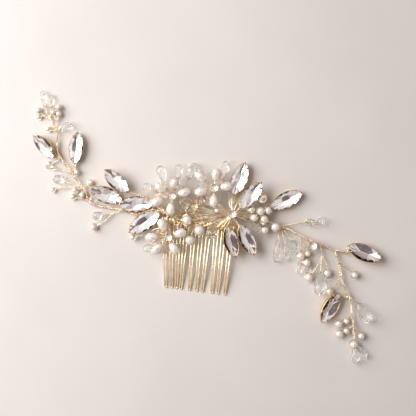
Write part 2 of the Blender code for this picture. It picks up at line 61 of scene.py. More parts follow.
# Comb
TOOTH_COUNT = 10
TOOTH_PITCH = 4.05
TOOTH_WIRE = 0.9
TOOTH_RADIUS = TOOTH_WIRE * 0.45  # a little thinner than half the wire
TOOTH_SIDES = 12
TOOTH_ROOT_GAUGE = 2.1
TOOTH_TIP_GAUGE = 1.1
TIP_STEPS = (0.0, 3.1, 2.7, 2.4, 4.7, 3.8, 3.2, 5.4, 3.1, 3.8)
SPINE_ANGLE = -7.5
SPINE_LEFT = (-23.0, 4.6)
TIP_LEFT = (-22.8, -32.0)
SPINE_WIDTH = 2.6
SPINE_THICKNESS = 1.2
SPINE_BACK_HEIGHT = 2.1
TOOTH_ARCH = 1.2
GAP = 0.35
TOOTH_STEPS = 16  # stretches along one side of a hairpin
BEND_STEPS = 10  # stretches round its tip
# How a hairpin's end passes over the spine: (distance towards the tips from its middle line, height)
OVER_SPINE = ((-1.75, 2.3), (-1.7, 3.0), (-1.1, 3.68), (0.0, 3.78), (1.0, 3.7), (1.5, 3.2))
BINDING_WIRE = 0.2
BINDING_TURNS = 2
BINDING_STEPS = 20  # points for each turn
BINDING_SPACING = 2.2  # between turns, in radii of the wire

# Settings and stones
SETTING_HALF_LENGTH = 9.3
SETTING_HALF_WIDTH = 4.4
OUTLINE_POINTS = 48
# The cup's wall from the back, up its outside, over the rim and down its inside: (share of the outline,
# height)
CUP_PROFILE = (
    (0.78, 0.0), (0.83, 0.1), (0.85, 0.35), (0.85, 0.75), (0.82, 0.95), (0.84, 1.3), (0.91, 2.1),
    (0.94, 2.35), (0.93, 2.55), (0.96, 2.75), (0.99, 2.95), (1.0, 3.1), (0.995, 3.22), (0.98, 3.27),
    (0.965, 3.2), (0.955, 2.9), (0.9, 2.0), (0.76, 0.5),
)
FOIL_AND_PAINTED_REFLECTION_MIX = (1, 1, 1, 2, 2, 2, 3)  # material numbers of the foil behind a facet: bright foil, or grey or dark foil that paints dark reflections into the facet
CLAW_ANGLES = (0, 42, 138, 180, 222, 318)
CLAW_WIRE = 0.36
# A claw from the back to its tip: (distance inwards from the outline, height)
CLAW_PATH = ((1.2, 0.4), (0.95, 1.0), (0.35, 2.3), (0.0, 3.2), (0.12, 3.75), (0.55, 4.05), (1.1, 4.1))
POINTEDNESS = 1.42  # 1 makes the outline an ellipse, 2 makes it two parabolas
STONE_HALF_LENGTH = 9.0
STONE_HALF_WIDTH = 4.22
STONE_GIRDLE = 3.1
STONE_CROWN = 0.6
STONE_DEPTH = 0.68
STONE_TABLE = 0.6
STONE_MIDDLE = 0.82  # the kite facets' side corners, over the girdle
STONE_MIDDLE_RISE = 0.62  # the same corners' share of the crown's height
STONE_EDGE = 0.12  # thickness of the girdle
STONE_WAIST = 0.56  # where the lower facets change slope, over the girdle
STONE_WAIST_DROP = 0.5  # the same place's share of the depth
STONE_KEEL = (0.34, 0.04)  # the flat at the very back, over the girdle
STONE_SIDES = 8
HALF_SIDE = 180 / STONE_SIDES

# Round stones in cups
HEART_RADIUS = 2.3
ROUND_CUP = (
    (0.72, 0.0), (0.78, 0.1), (0.8, 0.4), (0.76, 0.6), (0.82, 1.0), (0.95, 1.7), (1.0, 2.0), (1.0, 2.25),
    (0.95, 2.35), (0.88, 2.25), (0.86, 1.9), (0.6, 0.5),
)
ROUND_CLAW = ((0.5, 0.3), (0.45, 0.8), (0.1, 1.6), (-0.08, 2.2), (0.12, 2.65), (0.55, 2.8))
ROUND_CLAW_COUNT = 8
ROUND_CLAW_WIRE = 0.22
ROUND_STONE_RADIUS = HEART_RADIUS * 0.93
ROUND_GIRDLE = 2.1
ROUND_CROWN = 0.6
ROUND_DEPTH = 0.62
ROUND_KEEL = (0.08, 0.08)

# Pearls
PETAL_LENGTH = 7.5
PETAL_WIDTH = 5.2
PETAL_THICKNESS = 4.9
PETAL_EGG = 0.12
PETAL_DIMPLE = 0.05
PETAL_UNEVEN = 0.05
PETAL_RINGS = 0.006  # height of the growth rings, as a share of its width
PEARL_DIMPLE = 0.06
PEARL_UNEVEN = 0.018

# Wire
STEM_WIRE = 0.18
TWIG_WIRE = 0.16
FINE_WIRE = 0.12
WIRE_SIDES = 6
WIRE_END = 0.55  # radius at a wire's two ends, over its radius elsewhere
TWIST_UNEVEN = 0.35
STEM_PITCH = 2.6
TWIG_PITCH = 2.4
STEM_ORBIT = 0.34  # from a stem's middle to each of its two twisted pairs
STEM_TURN = 0.42  # radians that the pairs wind round each other for each millimetre
TURN_STEPS = 12  # points for each turn of a twist
ROUTE_STEPS = 8
STUB = 0.6  # the wire behind a bead that sits right on its stem
PEARL_GAP = 0.5  # from a pearl back to the end of its twist
DROP_GAP = 0.4
LONG_ROUTE = 6  # a route with this many points or more is a stem even if it carries a bead

# Name: place of the middle of its back (x, y, z), turn from +X, pitch that lowers the far tip, lean about
# its long axis, all in degrees, and size.
NAVETTES = {
    "left_vine_tip": ((-87.4, 44.8, 1.5), -46, 0, 24, 0.88),
    "left_vine_inner": ((-71, 43.2, 0.6), 84, 0, 0, 0.92),
    "left_fan_outer": ((-54.8, 17.8, 0), -20, 0, 0, 1),
    "left_fan_top": ((-49.4, 25, 3.4), -44, 0, -8, 0.94),
    "left_fan_middle": ((-38.6, 12.8, 1), 3, 0, 0, 1),
    "left_fan_low": ((-34.2, 3.2, 2.2), 33, 0, 0, 1.06),
    "bloom_top": ((17.2, 26.6, 0.7), 70, 0, 0, 1),
    "bloom_top_right": ((23, 17.4, 5.6), 50, 4, 0, 0.97),
    "bloom_right": ((42.6, 15.1, 0), 26, 0, 0, 1),
    "bloom_low": ((11.5, -7.2, 5.1), -74, 8, -20, 0.95),
    "bloom_low_right": ((20.3, -6.2, 4.6), -64, 8, -14, 0.98),
    "right_vine_fork": ((84.3, -14.2, 1.1), -22, 0, -15, 1.06),
    "right_vine_low": ((65.4, -42.6, 1.5), 59, 0, 20, 0.98),
}
NAVETTE_BODIES = {
    "left_vine_tip": "left_vine",
    "left_vine_inner": "left_vine",
    "right_vine_fork": "right_vine",
    "right_vine_low": "right_tip",
}
SETTING_WIRE_COUNT = 2  # wires that hold a setting by one of its ends
HOLD_REACH = 0.84  # where they meet the cup's wall, as a share of its half length
HOLD_HEIGHT = 0.8
# Setting, which of its ends, and where its wires come from
SETTING_WIRES = (
    ("left_vine_tip", 1, (-79.7, 38.3, 2.4)),
    ("left_vine_inner", -1, (-72.3, 30.8, 2)),
    ("right_vine_fork", -1, (74.3, -13.5, 1.8)),
    ("right_vine_low", 1, (74.6, -37.4, 1.6)),
    ("left_fan_outer", 1, (-38, 7.4, 2.2)),
    ("left_fan_top", 1, (-26.2, 12.6, 4.4)),
    ("left_fan_middle", 1, (-22, 8.3, 4.1)),
    ("left_fan_low", 1, (-22, 8.3, 4.1)),
    ("bloom_top", -1, (13.2, 7.6, 4.6)),
    ("bloom_top_right", -1, (13.2, 7.6, 5)),
    ("bloom_right", -1, (24, 4.6, 3.2)),
    ("bloom_low", -1, (13.2, 7.6, 4.8)),
    ("bloom_low_right", -1, (13.2, 7.6, 5)),
)

# Name: heart (x, y, z of its back), then each petal's direction in degrees, distance, height and pitch
FLOWERS = {
    "flower_left": (
        (-19.2, 17.3, 6.9),
        ((144, 7.4, 7.4, 0), (77, 6.3, 8.8, -38), (14, 6.8, 7.4, 0), (-94, 7, 7.4, 0), (-158, 8.4, 7.5, 3)),
    ),
    "flower_low": (
        (-21.3, -4.9, 6.6),
        ((113, 7, 7.2, 0), (18, 6.8, 7.2, 0), (180, 8.5, 7, 4), (-133, 8.4, 7, 4), (-61, 6.8, 7.2, 0)),
    ),
    "flower_top": (
        (3.5, 21.6, 7.1),
        ((81, 7.1, 7.5, 0), (141, 9.3, 7.4, 4), (-163, 7.3, 7.6, 0), (-90, 7, 7.6, 0), (5, 6.6, 7.6, 0)),
    ),
}
BLOOM_HEART = (13.2, 7.6, 6.2)

# A sprig is a wire's route and what it carries at its end: a pearl of some radius, a glass drop of some
# length and width, a round stone in a cup, or nothing (bare). A route with None is a stem.
CENTRE_SPRIGS = (
    (((-59.6, 11.9, 1.3), (-46.7, 9.6, 1.6), (-38, 7.4, 2.2), (-31, 9.7, 3.4), (-22, 8.3, 4.1),
      (-10, 6, 4.1), (3, 5.6, 4.1), (14, 5.6, 4.1), (24, 4.6, 3.2), (33.2, 3.5, 1.9)), None),
    (((-46.7, 9.6, 1.6), (-51.6, 7.5, 1.5), (-59.7, 6.5, 2.4)), ("drop", 5.2, 5)),
    (((-51.6, 7.5, 1.5), (-56, 3.4, 1.5), (-61.8, 0.5, 1.9)), ("pearl", 1.9)),
    (((-22, 8.3, 4.1), (-26.2, 12.6, 4.2), (-27.6, 19.5, 4.2), (-32.7, 22.1, 4.4)), ("drop", 5, 5)),
    (((-22, 8.3, 4.1), (-19.3, 14.5, 4.1), (-19.2, 17.3, 5.9)), None),
    (((-19.3, 14.5, 4.1), (-22, 22, 4.1), (-24.4, 29.2, 4.6)), ("drop", 9.7, 5.6)),
    (((-19.3, 14.5, 4.1), (-16.8, 23, 4.1), (-15.8, 30.4, 4.2)), ("drop", 8, 5.2)),
    (((-19.3, 14.5, 4.1), (-12.2, 23.4, 4.1), (-8.6, 30.6, 3.4)), ("drop", 9.7, 5.6)),
    (((-22, 8.3, 4.1), (-21.2, -2, 4.3), (-21.3, -4.9, 5.6)), None),
    (((-21.2, -2, 4.3), (-28, -7, 4), (-32.7, -11, 3.4)), ("drop", 4.4, 4.4)),
    (((-21.2, -2, 4.3), (-30, -3.2, 4), (-40.6, -5, 3)), ("pearl", 1.6)),
    (((-22, 8.3, 4.1), (-15, 4.6, 5), (-11, 4.2, 6.8)), ("pearl", 2.9)),
    (((-10, 6, 4.1), (-6, 2, 4.6), (-4.4, -1.2, 6.9)), ("pearl", 3)),
    (((-6, 2, 4.6), (-8, -2.4, 4.8), (-9.5, -6.6, 6.7)), ("pearl", 2.7)),
    (((-10, 6, 4.1), (-2, 13, 4.1), (3.5, 18.6, 4.1), (3.5, 21.6, 6.1)), ("bare",)),
    (((3.5, 18.6, 4.1), (8, 25, 4.1), (9.3, 31.8, 4.2)), ("drop", 9, 5)),
    (((3, 5.6, 4.1), (3.2, 2, 4.8), (2.4, -1.6, 7.2)), ("drop", 9.7, 6.2)),
    (((3, 5.6, 4.1), (3.6, 7.6, 5.4), (5.1, 9.4, 6.6)), ("pearl", 1.4)),
    (((-10, 6, 4.1), (-11, 8.6, 4.8), (-8.4, 10.6, 5.2)), ("drop", 7.6, 4.2)),
    (((-10, 6, 4.1), (-6.2, 10, 4.8), (-3.4, 14.2, 5)), ("drop", 6.4, 4.4)),
    (((14, 5.6, 4.1), (13.5, 6.8, 4.8), (13.2, 7.6, 5.2)), None),
    (((24, 4.6, 3.2), (24.4, 7, 4), (23.6, 9.9, 5.4)), ("pearl", 2.2)),
    (((24, 4.6, 3.2), (27, 7, 4.6), (28.6, 9, 5.4)), ("pearl", 2.4)),
    (((27, 7, 4.6), (31, 8.6, 4.4), (32.7, 9.4, 4.4)), ("pearl", 2.2)),
    (((24, 4.6, 3.2), (25, 5, 5), (25.1, 5.4, 6.6)), ("pearl", 2.2)),
    (((24, 4.6, 3.2), (28, 4.4, 4), (30.5, 4.6, 5)), ("pearl", 2.4)),
    (((24, 4.6, 3.2), (28.6, 1.6, 3.4), (30.8, -1.2, 4)), ("pearl", 2.2)),
    (((24, 4.6, 3.2), (25, 2.4, 3.6), (25.9, 0.1, 4.6)), ("drop", 5.6, 5.8)),
    (((24, 4.6, 3.2), (24.6, 5.4, 2.4), (27.6, 6.8, 1.8), (29.8, 15.9, 1.2)), ("stone", 2.7)),
)
LEFT_VINE_SPRIGS = (
    (((-60.2, 12.4, 1.4), (-62.4, 12.6, 1.5), (-64.6, 15.1, 1.7), (-67.2, 21.6, 2), (-73.2, 29.2, 2.3),
      (-79.7, 38.3, 2.4), (-81.3, 42.6, 2.4), (-81.8, 52.4, 2.2), (-85.1, 58.9, 2),
      (-87.6, 64.8, 1.8)), None),
    (((-67.2, 21.6, 2), (-69.6, 21.2, 1.8), (-71.9, 20.5, 1.6)), ("pearl", 1.6)),
    (((-67.2, 21.6, 2), (-65, 23.2, 1.8), (-63.4, 24.6, 1.6)), ("pearl", 1.6)),
    (((-65.2, 16.6, 1.8), (-66.6, 17, 1.7), (-68, 17.9, 1.7)), ("pearl", 1.6)),
    (((-64.2, 14.5, 1.65), (-63.2, 14.9, 2.1), (-62.2, 14.8, 2.4)), ("drop", 3.2, 3.2)),
    (((-69.6, 21.2, 1.8), (-77, 21.8, 1.8), (-84, 20.6, 1.6)), ("pearl", 1.2)),
    (((-73.2, 29.2, 2.3), (-72, 29.8, 2.3), (-70.9, 30.2, 2.3)), ("pearl", 1.5)),
    (((-79.7, 38.3, 2.4), (-82.6, 35.6, 1.4), (-85.8, 34.5, 1.5)), ("pearl", 1.3)),
    (((-64.6, 15.1, 1.7), (-69, 15.9, 1.7), (-73.2, 16.9, 1.6)), ("pearl", 1.6)),
    (((-67.2, 21.6, 2), (-74, 24, 2.2), (-80.6, 26.2, 2.6)), ("drop", 6.2, 5.4)),
    (((-73.2, 29.2, 2.3), (-79.6, 31.2, 2.2), (-85.4, 33, 1.6)), ("drop", 5.6, 3)),
    (((-73.2, 29.2, 2.3), (-71.6, 32, 1.8), (-71, 34.4, 0.9)), None),
    (((-79.7, 38.3, 2.4), (-80.4, 38.5, 2), (-81.2, 38.5, 1.4)), None),
    (((-81.8, 52.4, 2.2), (-79.6, 53.4, 2.6), (-76.8, 54.6, 2.6)), ("drop", 7.2, 4.6)),
    (((-81.8, 52.4, 2.2), (-84.2, 53, 1.8), (-86.6, 53.6, 1.5)), ("pearl", 1.4)),
    (((-81.8, 52.4, 2.2), (-81.8, 57.4, 2.4), (-80.7, 61.8, 2)), ("pearl", 1.6)),
    (((-81.8, 57.4, 2.4), (-80.2, 61.5, 2.4), (-80.7, 65.5, 2.2)), ("pearl", 1.6)),
    (((-81.8, 57.4, 2.4), (-82.8, 60, 2.8), (-83.4, 62.6, 3)), ("pearl", 1.4)),
    (((-88.4, 60.6, 1.8), (-90, 60.6, 1.7), (-91.7, 60.2, 1.5)), ("pearl", 1.4)),
    (((-85.1, 58.9, 2), (-88.4, 60.6, 1.8), (-91.8, 63.8, 1.6)), ("pearl", 1.6)),
    (((-85.1, 58.9, 2), (-85, 64, 2), (-84.8, 68.6, 1.7)), ("drop", 7.2, 2.9)),
    (((-87.6, 64.8, 1.8), (-88.3, 67.4, 1.8), (-88.8, 70, 1.8)), ("drop", 9.2, 3.3)),
)
RIGHT_VINE_SPRIGS = (
    (((33.9, 3.1, 1.9), (39.7, 1, 2), (48.3, -3.2, 2.4), (55.4, -7, 2.4), (60.8, -8.6, 2.4),
      (68, -12, 2.2), (74.3, -13.5, 1.8), (76.4, -13.9, 1.4)), None),
    (((36.8, 2.1, 2), (37, 1.3, 2.6), (36.8, 0.5, 3.6)), ("pearl", 2.6)),
    (((39.7, 1, 2), (47.3, 2.2, 2.2), (55.6, 3.2, 2.4)), ("drop", 4.6, 4.4)),
    (((47.3, 2.2, 2.2), (54, 3.1, 2.4), (61, 3.7, 2.4)), ("drop", 4.6, 4.4)),
    (((39.7, 1, 2), (38.4, -5, 2.4), (37.6, -12.6, 2.4)), ("drop", 12.5, 4.2)),
    (((39.7, 1, 2), (41.4, -6, 2.4), (42.6, -13.4, 2)), ("drop", 9, 3.6)),
    (((39.7, 1, 2), (43.8, -4.6, 2.6), (45.6, -9.4, 3.6)), ("drop", 6.6, 7)),
    (((48.3, -3.2, 2.4), (50.6, -8, 2.4), (50.5, -15.1, 2.4)), ("pearl", 2.2)),
    (((50.6, -8, 2.4), (53, -10.6, 2.2), (54.3, -14, 2)), ("pearl", 1.7)),
    (((50.5, -15.1, 2.4), (52.4, -17, 2.4), (53.7, -19, 2.4)), ("pearl", 2.2)),
    (((50.5, -15.1, 2.4), (50.2, -18.6, 2), (49.8, -21.6, 1.8)), ("drop", 7.4, 3.4)),
    (((53.7, -19, 2.4), (54.2, -20.6, 2), (54.4, -22.8, 1.8)), ("drop", 6.4, 3.4)),
    (((55.4, -7, 2.4), (56, -8.8, 2.4), (56.4, -9.6, 3)), ("stone", 2.5)),
    (((60.8, -8.6, 2.4), (61.8, -15.1, 2.4), (59, -21, 2.4), (54.9, -26.8, 2.6)), ("pearl", 2.4)),
    (((61.8, -15.1, 2.4), (61.2, -22, 2.8), (60.6, -30.2, 3.4)), ("drop", 12.6, 6.6)),
    (((61.8, -15.1, 2.4), (64, -19, 2.2), (64.9, -24.6, 2.2)), ("pearl", 2.1)),
)
RIGHT_TIP_SPRIGS = (
    (((69.6, -14.4, 2.1), (70.5, -18.4, 2.2), (72.4, -25, 2.4), (73, -29.7, 2.6), (76.4, -37, 2.6),
      (77.9, -45.4, 2.6), (78.8, -53, 2.6), (79.1, -60, 2.6), (79.1, -63.2, 2.6)), ("pearl", 2.4)),
    (((70.5, -18.4, 2.2), (71.4, -27, 2.2), (68.6, -32.6, 2.2), (65.8, -34.4, 2.2)), ("pearl", 2.1)),
    (((70.5, -18.4, 2.2), (75, -21.4, 2), (79.8, -25.6, 1.9)), ("pearl", 1.9)),
    (((76.4, -37, 2.6), (74.6, -37.4, 1.6), (73, -36.6, 1.2)), None),
    (((76.4, -37, 2.6), (80.6, -40.6, 3), (84, -45.8, 3.4)), ("drop", 12.6, 6.4)),
    (((77.9, -45.4, 2.6), (75.6, -49.4, 2.4), (71, -52, 2.4)), ("pearl", 2.2)),
    (((77.9, -45.4, 2.6), (76.6, -48.4, 2.2), (75.3, -50.6, 1.8)), ("pearl", 1.7)),
    (((78.8, -53, 2.6), (75.6, -55, 2.4), (71.2, -57.4, 2.4)), ("pearl", 2.2)),
    (((78.8, -53, 2.6), (77, -54.6, 2.2), (75.3, -55.8, 1.8)), ("pearl", 1.7)),
    (((78.8, -53, 2.6), (81.6, -55.4, 2.2), (83.2, -58.6, 2)), ("pearl", 1.9)),
    (((79.1, -63.2, 2.6), (79.5, -66, 2.6), (79.7, -69, 2.5)), ("drop", 8.8, 4.8)),
    (((79.1, -63.2, 2.6), (81.8, -64.6, 2), (84, -67.2, 1.7)), ("drop", 8.6, 3.2)),
)
SPRIGS = {
    "centre": (CENTRE_SPRIGS, "comb"),
    "left_vine": (LEFT_VINE_SPRIGS, "left_vine"),
    "right_vine": (RIGHT_VINE_SPRIGS, "right_vine"),
    "right_tip": (RIGHT_TIP_SPRIGS, "right_tip"),
}

# Loose wires that fan out of the bloom's heart: first and last direction in degrees, count, reach, height
# at the far end, and wire radius
BLOOM_FANS = (
    (140, 206, 22, 22, 4.9, 0.14),
    (206, 240, 8, 15, 4.7, 0.15),
    (-26, 14, 9, 13, 5, 0.24),
    (50, 105, 7, 9.5, 4.4, 0.18),
    (240, 300, 6, 9, 5.2, 0.18),
)
NEST_STEPS = 4  # stretches of each wire that winds about under the flowers
# Those wires: middle, count, shortest and longest reach, and heights
NESTS = (
    ((-19.2, 17.3), 16, 5, 12, 4.3, 6.2),
    ((-21.3, -4.9), 14, 5, 11, 4.2, 6),
    ((3.5, 21.6), 12, 5, 10, 4.3, 6.2),
    ((-8, 2), 14, 4, 10, 4.2, 5.6),
    ((-7, 12), 30, 5, 12, 4, 5.4),
    ((-14, 5), 26, 4, 11, 4.4, 5.8),
    ((-32, 9.5), 12, 5, 12, 2.6, 4.4),
    ((25.5, 5.5), 12, 3, 6, 3.4, 4.8),
)

# Bindings over the places where the vines bend: the two bodies, and the route from one to the other
LINKS = {
    "left_vine_binding": (
        "comb", "left_vine", ((-57.6, 11.6, 1.35), (-59.9, 12.15, 1.35), (-62, 12.5, 1.45)),
    ),
    "right_vine_binding": (
        "comb", "right_vine", ((31.6, 4.1, 2.05), (33.55, 3.3, 1.9), (35.6, 2.6, 1.9)),
    ),
    "right_tip_binding": (
        "right_vine", "right_tip", ((69.3, -12.4, 2.2), (69.5, -13.8, 2.15), (69.9, -15.9, 2.15)),
    ),
}
LINK_CORE = 0.34
LINK_CORE_SIDES = 10
LINK_CORE_STEP = 0.25
LINK_COIL_RADIUS = 0.52
LINK_COIL_PITCH = 0.44

# Glass drops: (share of half the length, share of the width)
BRIOLETTE = (
    (-1, 0.1), (-0.82, 0.36), (-0.45, 0.68), (-0.02, 0.92), (0.38, 1), (0.7, 0.82), (0.91, 0.46), (1, 0.1),
)
ROUND_BEAD = ((-0.96, 0.28), (-0.6, 0.8), (0.0, 1.0), (0.6, 0.8), (0.96, 0.28))
ROUND_BEAD_LIMIT = 1.3  # a drop no longer than this many times its width is a round bead
DROP_SIDES = 9
DROP_HOLE = 0.62  # where the wire enters, as a share of half the length, behind the middle

# Studio: places and sizes are in metres
FLOOR_REACH = 3.0
FLOOR_HEIGHT = -0.00005
CAMERA_LENS = 85.0
CAMERA_CLIP = 0.01
CAMERA_PLACE = (0.0004, 0.0102, 0.534)
KEY_PLACE = (-0.52, 0.18, 0.41)
KEY_SIZE = 0.6
KEY_POWER = 7.0
WORLD_STRENGTH = 1.15
KEY_COLOUR = (1.0, 0.98, 0.96)
FILL_TINT = (0.34, 0.305, 0.285)  # how much of the room's light falls on matt surfaces
GLOW_WAY = (-0.53, 0.30, 0.79)  # the bright window side
DARK_WAY = (0.16, -0.20, 0.966)  # something dark that hangs over the table, seen in the stones and pearls
# Colours of the room from its floor to its ceiling, and of the two spots by how nearly a way points at them
ROOM_COLOURS = (
    (0, (0.30, 0.24, 0.20)), (0.2, (0.50, 0.44, 0.41)), (0.5, (0.61, 0.57, 0.55)), (1, (0.63, 0.60, 0.58)),
)
GLOW_COLOURS = (
    (0, (0, 0, 0)), (0.45, (0.05, 0.05, 0.05)), (0.8, (0.2, 0.2, 0.2)), (0.95, (0.6, 0.6, 0.6)),
)
DARK_COLOURS = (
    (0, (1, 1, 1)), (0.935, (1, 1, 1)), (0.955, (0.24, 0.19, 0.19)), (1, (0.16, 0.13, 0.13)),
)


def add_object(name, data):
    obj = bpy.data.objects.new(name, data)
    bpy.context.scene.collection.objects.link(obj)
    return obj


# ---- materials ----


def new_material(name):
    """A new material, its node tree and its shader."""
    mat = bpy.data.materials.new(name)
    mat.use_nodes = True
    return mat, mat.node_tree, mat.node_tree.nodes["Principled BSDF"]


def set_inputs(node, values):
    for name, value in values.items():
        node.inputs[name].default_value = value


def noise_node(tree, scale, detail):
    place = tree.nodes.new("ShaderNodeTexCoord")
    texture = tree.nodes.new("ShaderNodeTexNoise")
    set_inputs(texture, {"Scale": scale, "Detail": detail})
    tree.links.new(place.outputs["Object"], texture.inputs["Vector"])
    return texture.outputs["Fac"]


def ramp_node(tree, source, stops):
    """A colour ramp: stops are (position, colour)."""
    ramp = tree.nodes.new("ShaderNodeValToRGB")
    elements = ramp.color_ramp.elements
    while len(elements) < len(stops):
        elements.new(0.5)
    for element, (position, colour) in zip(elements, stops):
        element.position = position
        element.color = (*colour, 1.0)
    tree.links.new(source, ramp.inputs["Fac"])
    return ramp.outputs["Color"]


def mix_node(tree, blend, factor, first, second):
    """A mix of two colours. The factor and each colour are a node's output or a constant."""
    mix = tree.nodes.new("ShaderNodeMix")
    mix.data_type = "RGBA"
    mix.blend_type = blend
    mix.clamp_result = False
    for name, source in (("Factor", factor), ("A", first), ("B", second)):
        if isinstance(source, bpy.types.NodeSocket):
            tree.links.new(source, mix.inputs[name])
        else:
            mix.inputs[name].default_value = source
    return mix.outputs["Result"]


def uneven_colour(tree, shader, noise_scale, detail, stops):
    """Base colour that drifts between two shades from place to place."""
    colour = ramp_node(tree, noise_node(tree, noise_scale, detail), stops)
    tree.links.new(colour, shader.inputs["Base Color"])


def uneven_polish(tree, shader, noise_scale, detail, low, high):
    """Roughness that drifts between two values from place to place."""
    spread = tree.nodes.new("ShaderNodeMapRange")
    set_inputs(spread, {"From Min": 0.3, "From Max": 0.7, "To Min": low, "To Max": high})
    tree.links.new(noise_node(tree, noise_scale, detail), spread.inputs["Value"])
    tree.links.new(spread.outputs["Result"], shader.inputs["Roughness"])


def fine_bumps(tree, shader, noise_scale, distance, strength):
    bump = tree.nodes.new("ShaderNodeBump")
    set_inputs(bump, {"Distance": distance, "Strength": strength})
    tree.links.new(noise_node(tree, noise_scale, 2.0), bump.inputs["Height"])
    tree.links.new(bump.outputs["Normal"], shader.inputs["Normal"])


def gold(name, bright, deep, roughness):
    """Plated wire or metal: the colour and the polish vary a little from place to place."""
    mat, tree, shader = new_material(name)
    uneven_colour(tree, shader, 260.0, 3.0, ((0.35, deep), (0.62, bright)))
    uneven_polish(tree, shader, 900.0, 2.0, roughness * 0.7, roughness * 1.5)
    set_inputs(shader, {"Metallic": 1.0})
    fine_bumps(tree, shader, 2400.0, 0.00004, 0.25)
    return mat


def pearl(name, body, painted_rim_shade, cream):
    """Nacre: a soft body under a clear coat, darkened towards its rim by painted shade, with faint cloudy
    patches.
    """
    mat, tree, shader = new_material(name)
    cloudy = ramp_node(tree, noise_node(tree, 190.0, 2.0), ((0.38, body), (0.66, cream)))
    # painted shade: the colour darkens towards the pearl's rim, standing in for the shading of its roundness
    rim_shade_mask = tree.nodes.new("ShaderNodeLayerWeight")
    set_inputs(rim_shade_mask, {"Blend": 0.35})
    colour = mix_node(tree, "MIX", rim_shade_mask.outputs["Facing"], cloudy, (*painted_rim_shade, 1.0))
    tree.links.new(colour, shader.inputs["Base Color"])
    set_inputs(shader, {
        "Roughness": 0.22,
        "IOR": 1.75,
        "Metallic": 0.35,
        "Subsurface Weight": 0.1,
        "Subsurface Radius": (0.0016, 0.0011, 0.0009),
        "Coat Weight": 1.0,
        "Coat Roughness": 0.05,
        "Coat IOR": 2.1,
    })
    fine_bumps(tree, shader, 620.0, 0.00008, 0.06)
    return mat


def glass(name, tint, shade, ior, alpha=1.0):
    """Cut glass, with the faintest cloudiness."""
    mat, tree, shader = new_material(name)
    uneven_colour(tree, shader, 240.0, 2.0, ((0.3, shade), (0.6, tint)))
    set_inputs(shader, {"Transmission Weight": 1.0, "IOR": ior, "Alpha": alpha})
    uneven_polish(tree, shader, 700.0, 1.0, 0.0, 0.03)
    return mat


def foil(name, bright, deep):
    """The mirror foil behind a cut stone."""
    mat, tree, shader = new_material(name)
    uneven_colour(tree, shader, 320.0, 2.0, ((0.36, deep), (0.6, bright)))
    set_inputs(shader, {"Metallic": 1.0})
    uneven_polish(tree, shader, 800.0, 1.0, 0.02, 0.07)
    return mat


def floor_material():
    mat, tree, shader = new_material("pale_floor")
    uneven_colour(tree, shader, 14.0, 4.0, ((0.35, (0.735, 0.71, 0.695)), (0.65, (0.775, 0.75, 0.735))))
    set_inputs(shader, {"Roughness": 0.6})
    return mat


WIRE_GOLD = gold("wire_gold", (0.89, 0.75, 0.54), (0.62, 0.45, 0.28), 0.24)
TOOTH_GOLD = gold("tooth_gold", (0.97, 0.85, 0.61), (0.88, 0.71, 0.46), 0.17)
SETTING_GOLD = gold("setting_gold", (0.86, 0.62, 0.30), (0.66, 0.42, 0.17), 0.2)
# painted shade: a darker copy of the setting gold that makes the claws at the stones' tips look dark
CLAW_GOLD_PAINTED_SHADE = gold("claw_gold_painted_shade", (0.55, 0.36, 0.22), (0.32, 0.19, 0.12), 0.22)
# each pearl's third colour is the painted shade that darkens it towards its rim
RICE_PEARL = pearl("rice_pearl", (0.86, 0.78, 0.72), (0.62, 0.46, 0.36), (0.90, 0.85, 0.80))
ROUND_PEARL = pearl("round_pearl", (0.86, 0.79, 0.69), (0.58, 0.45, 0.32), (0.90, 0.85, 0.77))
CROWN_GLASS = glass("stone_glass", (1.0, 1.0, 1.0), (0.985, 0.98, 0.975), 1.47)
# the grey and dark foils are painted reflection: they darken some facets the way dark surroundings seen in
# them would
FOILS = (
    foil("stone_foil_bright", (1.0, 0.99, 0.98), (0.98, 0.96, 0.95)),
    foil("stone_foil_grey", (0.90, 0.87, 0.87), (0.78, 0.75, 0.76)),
    foil("stone_foil_dark", (0.60, 0.51, 0.53), (0.46, 0.38, 0.40)),
)
DROP_GLASS = glass("drop_glass", (1.0, 0.99, 0.97), (0.985, 0.96, 0.93), 1.52, alpha=0.85)


# ---- shapes ----


class Shape:
    """Vertices and faces, in millimetres, that grow into one mesh. A face has a material number."""

    def __init__(self):
        self.verts = []
        self.faces = []
        self.slots = []

    def point(self, place):
        self.verts.append(Vector(place))
        return len(self.verts) - 1

    def face(self, corners, slot=0):
        self.faces.append(tuple(corners))
        self.slots.append(slot)

    def loft(self, rings, slot=0):
        """Skin over rings of equal length, closed at both ends."""
        loops = [[self.point(place) for place in ring] for ring in rings]
        count = len(loops[0])
        for low, high in zip(loops, loops[1:]):
            for i in range(count):
                j = (i + 1) % count
                self.face((low[i], low[j], high[j], high[i]), slot)
        self.face(loops[0][::-1], slot)
        self.face(loops[-1], slot)

    def piece(self, name, materials, where=None, smooth=WIRE_SMOOTH):
        """The finished object. Smooth is the angle above which an edge stays sharp, or None for facets."""
        mesh = bpy.data.meshes.new(name)
        mesh.from_pydata([tuple(v) for v in self.verts], [], self.faces)
        mesh.polygons.foreach_set("material_index", self.slots)
        bm = bmesh.new()
        bm.from_mesh(mesh)
        bmesh.ops.recalc_face_normals(bm, faces=bm.faces)
        bm.to_mesh(mesh)
        bm.free()
        mesh.transform(LAYOUT @ where if where else LAYOUT)
        for material in materials:
            mesh.materials.append(material)
        if smooth is not None:
            mesh.shade_smooth()
            mesh.set_sharp_from_angle(angle=radians(smooth))
        return add_object(name, mesh)


def settle(piece, body, slot, *nodes):
    """Puts a piece on its body and hides the parts of the model that it replaces."""
    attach(piece, body)
    if nodes:
        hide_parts(*nodes)


def settle_wires(shape, name, body, *nodes):
    settle(shape.piece(name, [WIRE_GOLD]), body, "beaded_wire", *nodes)


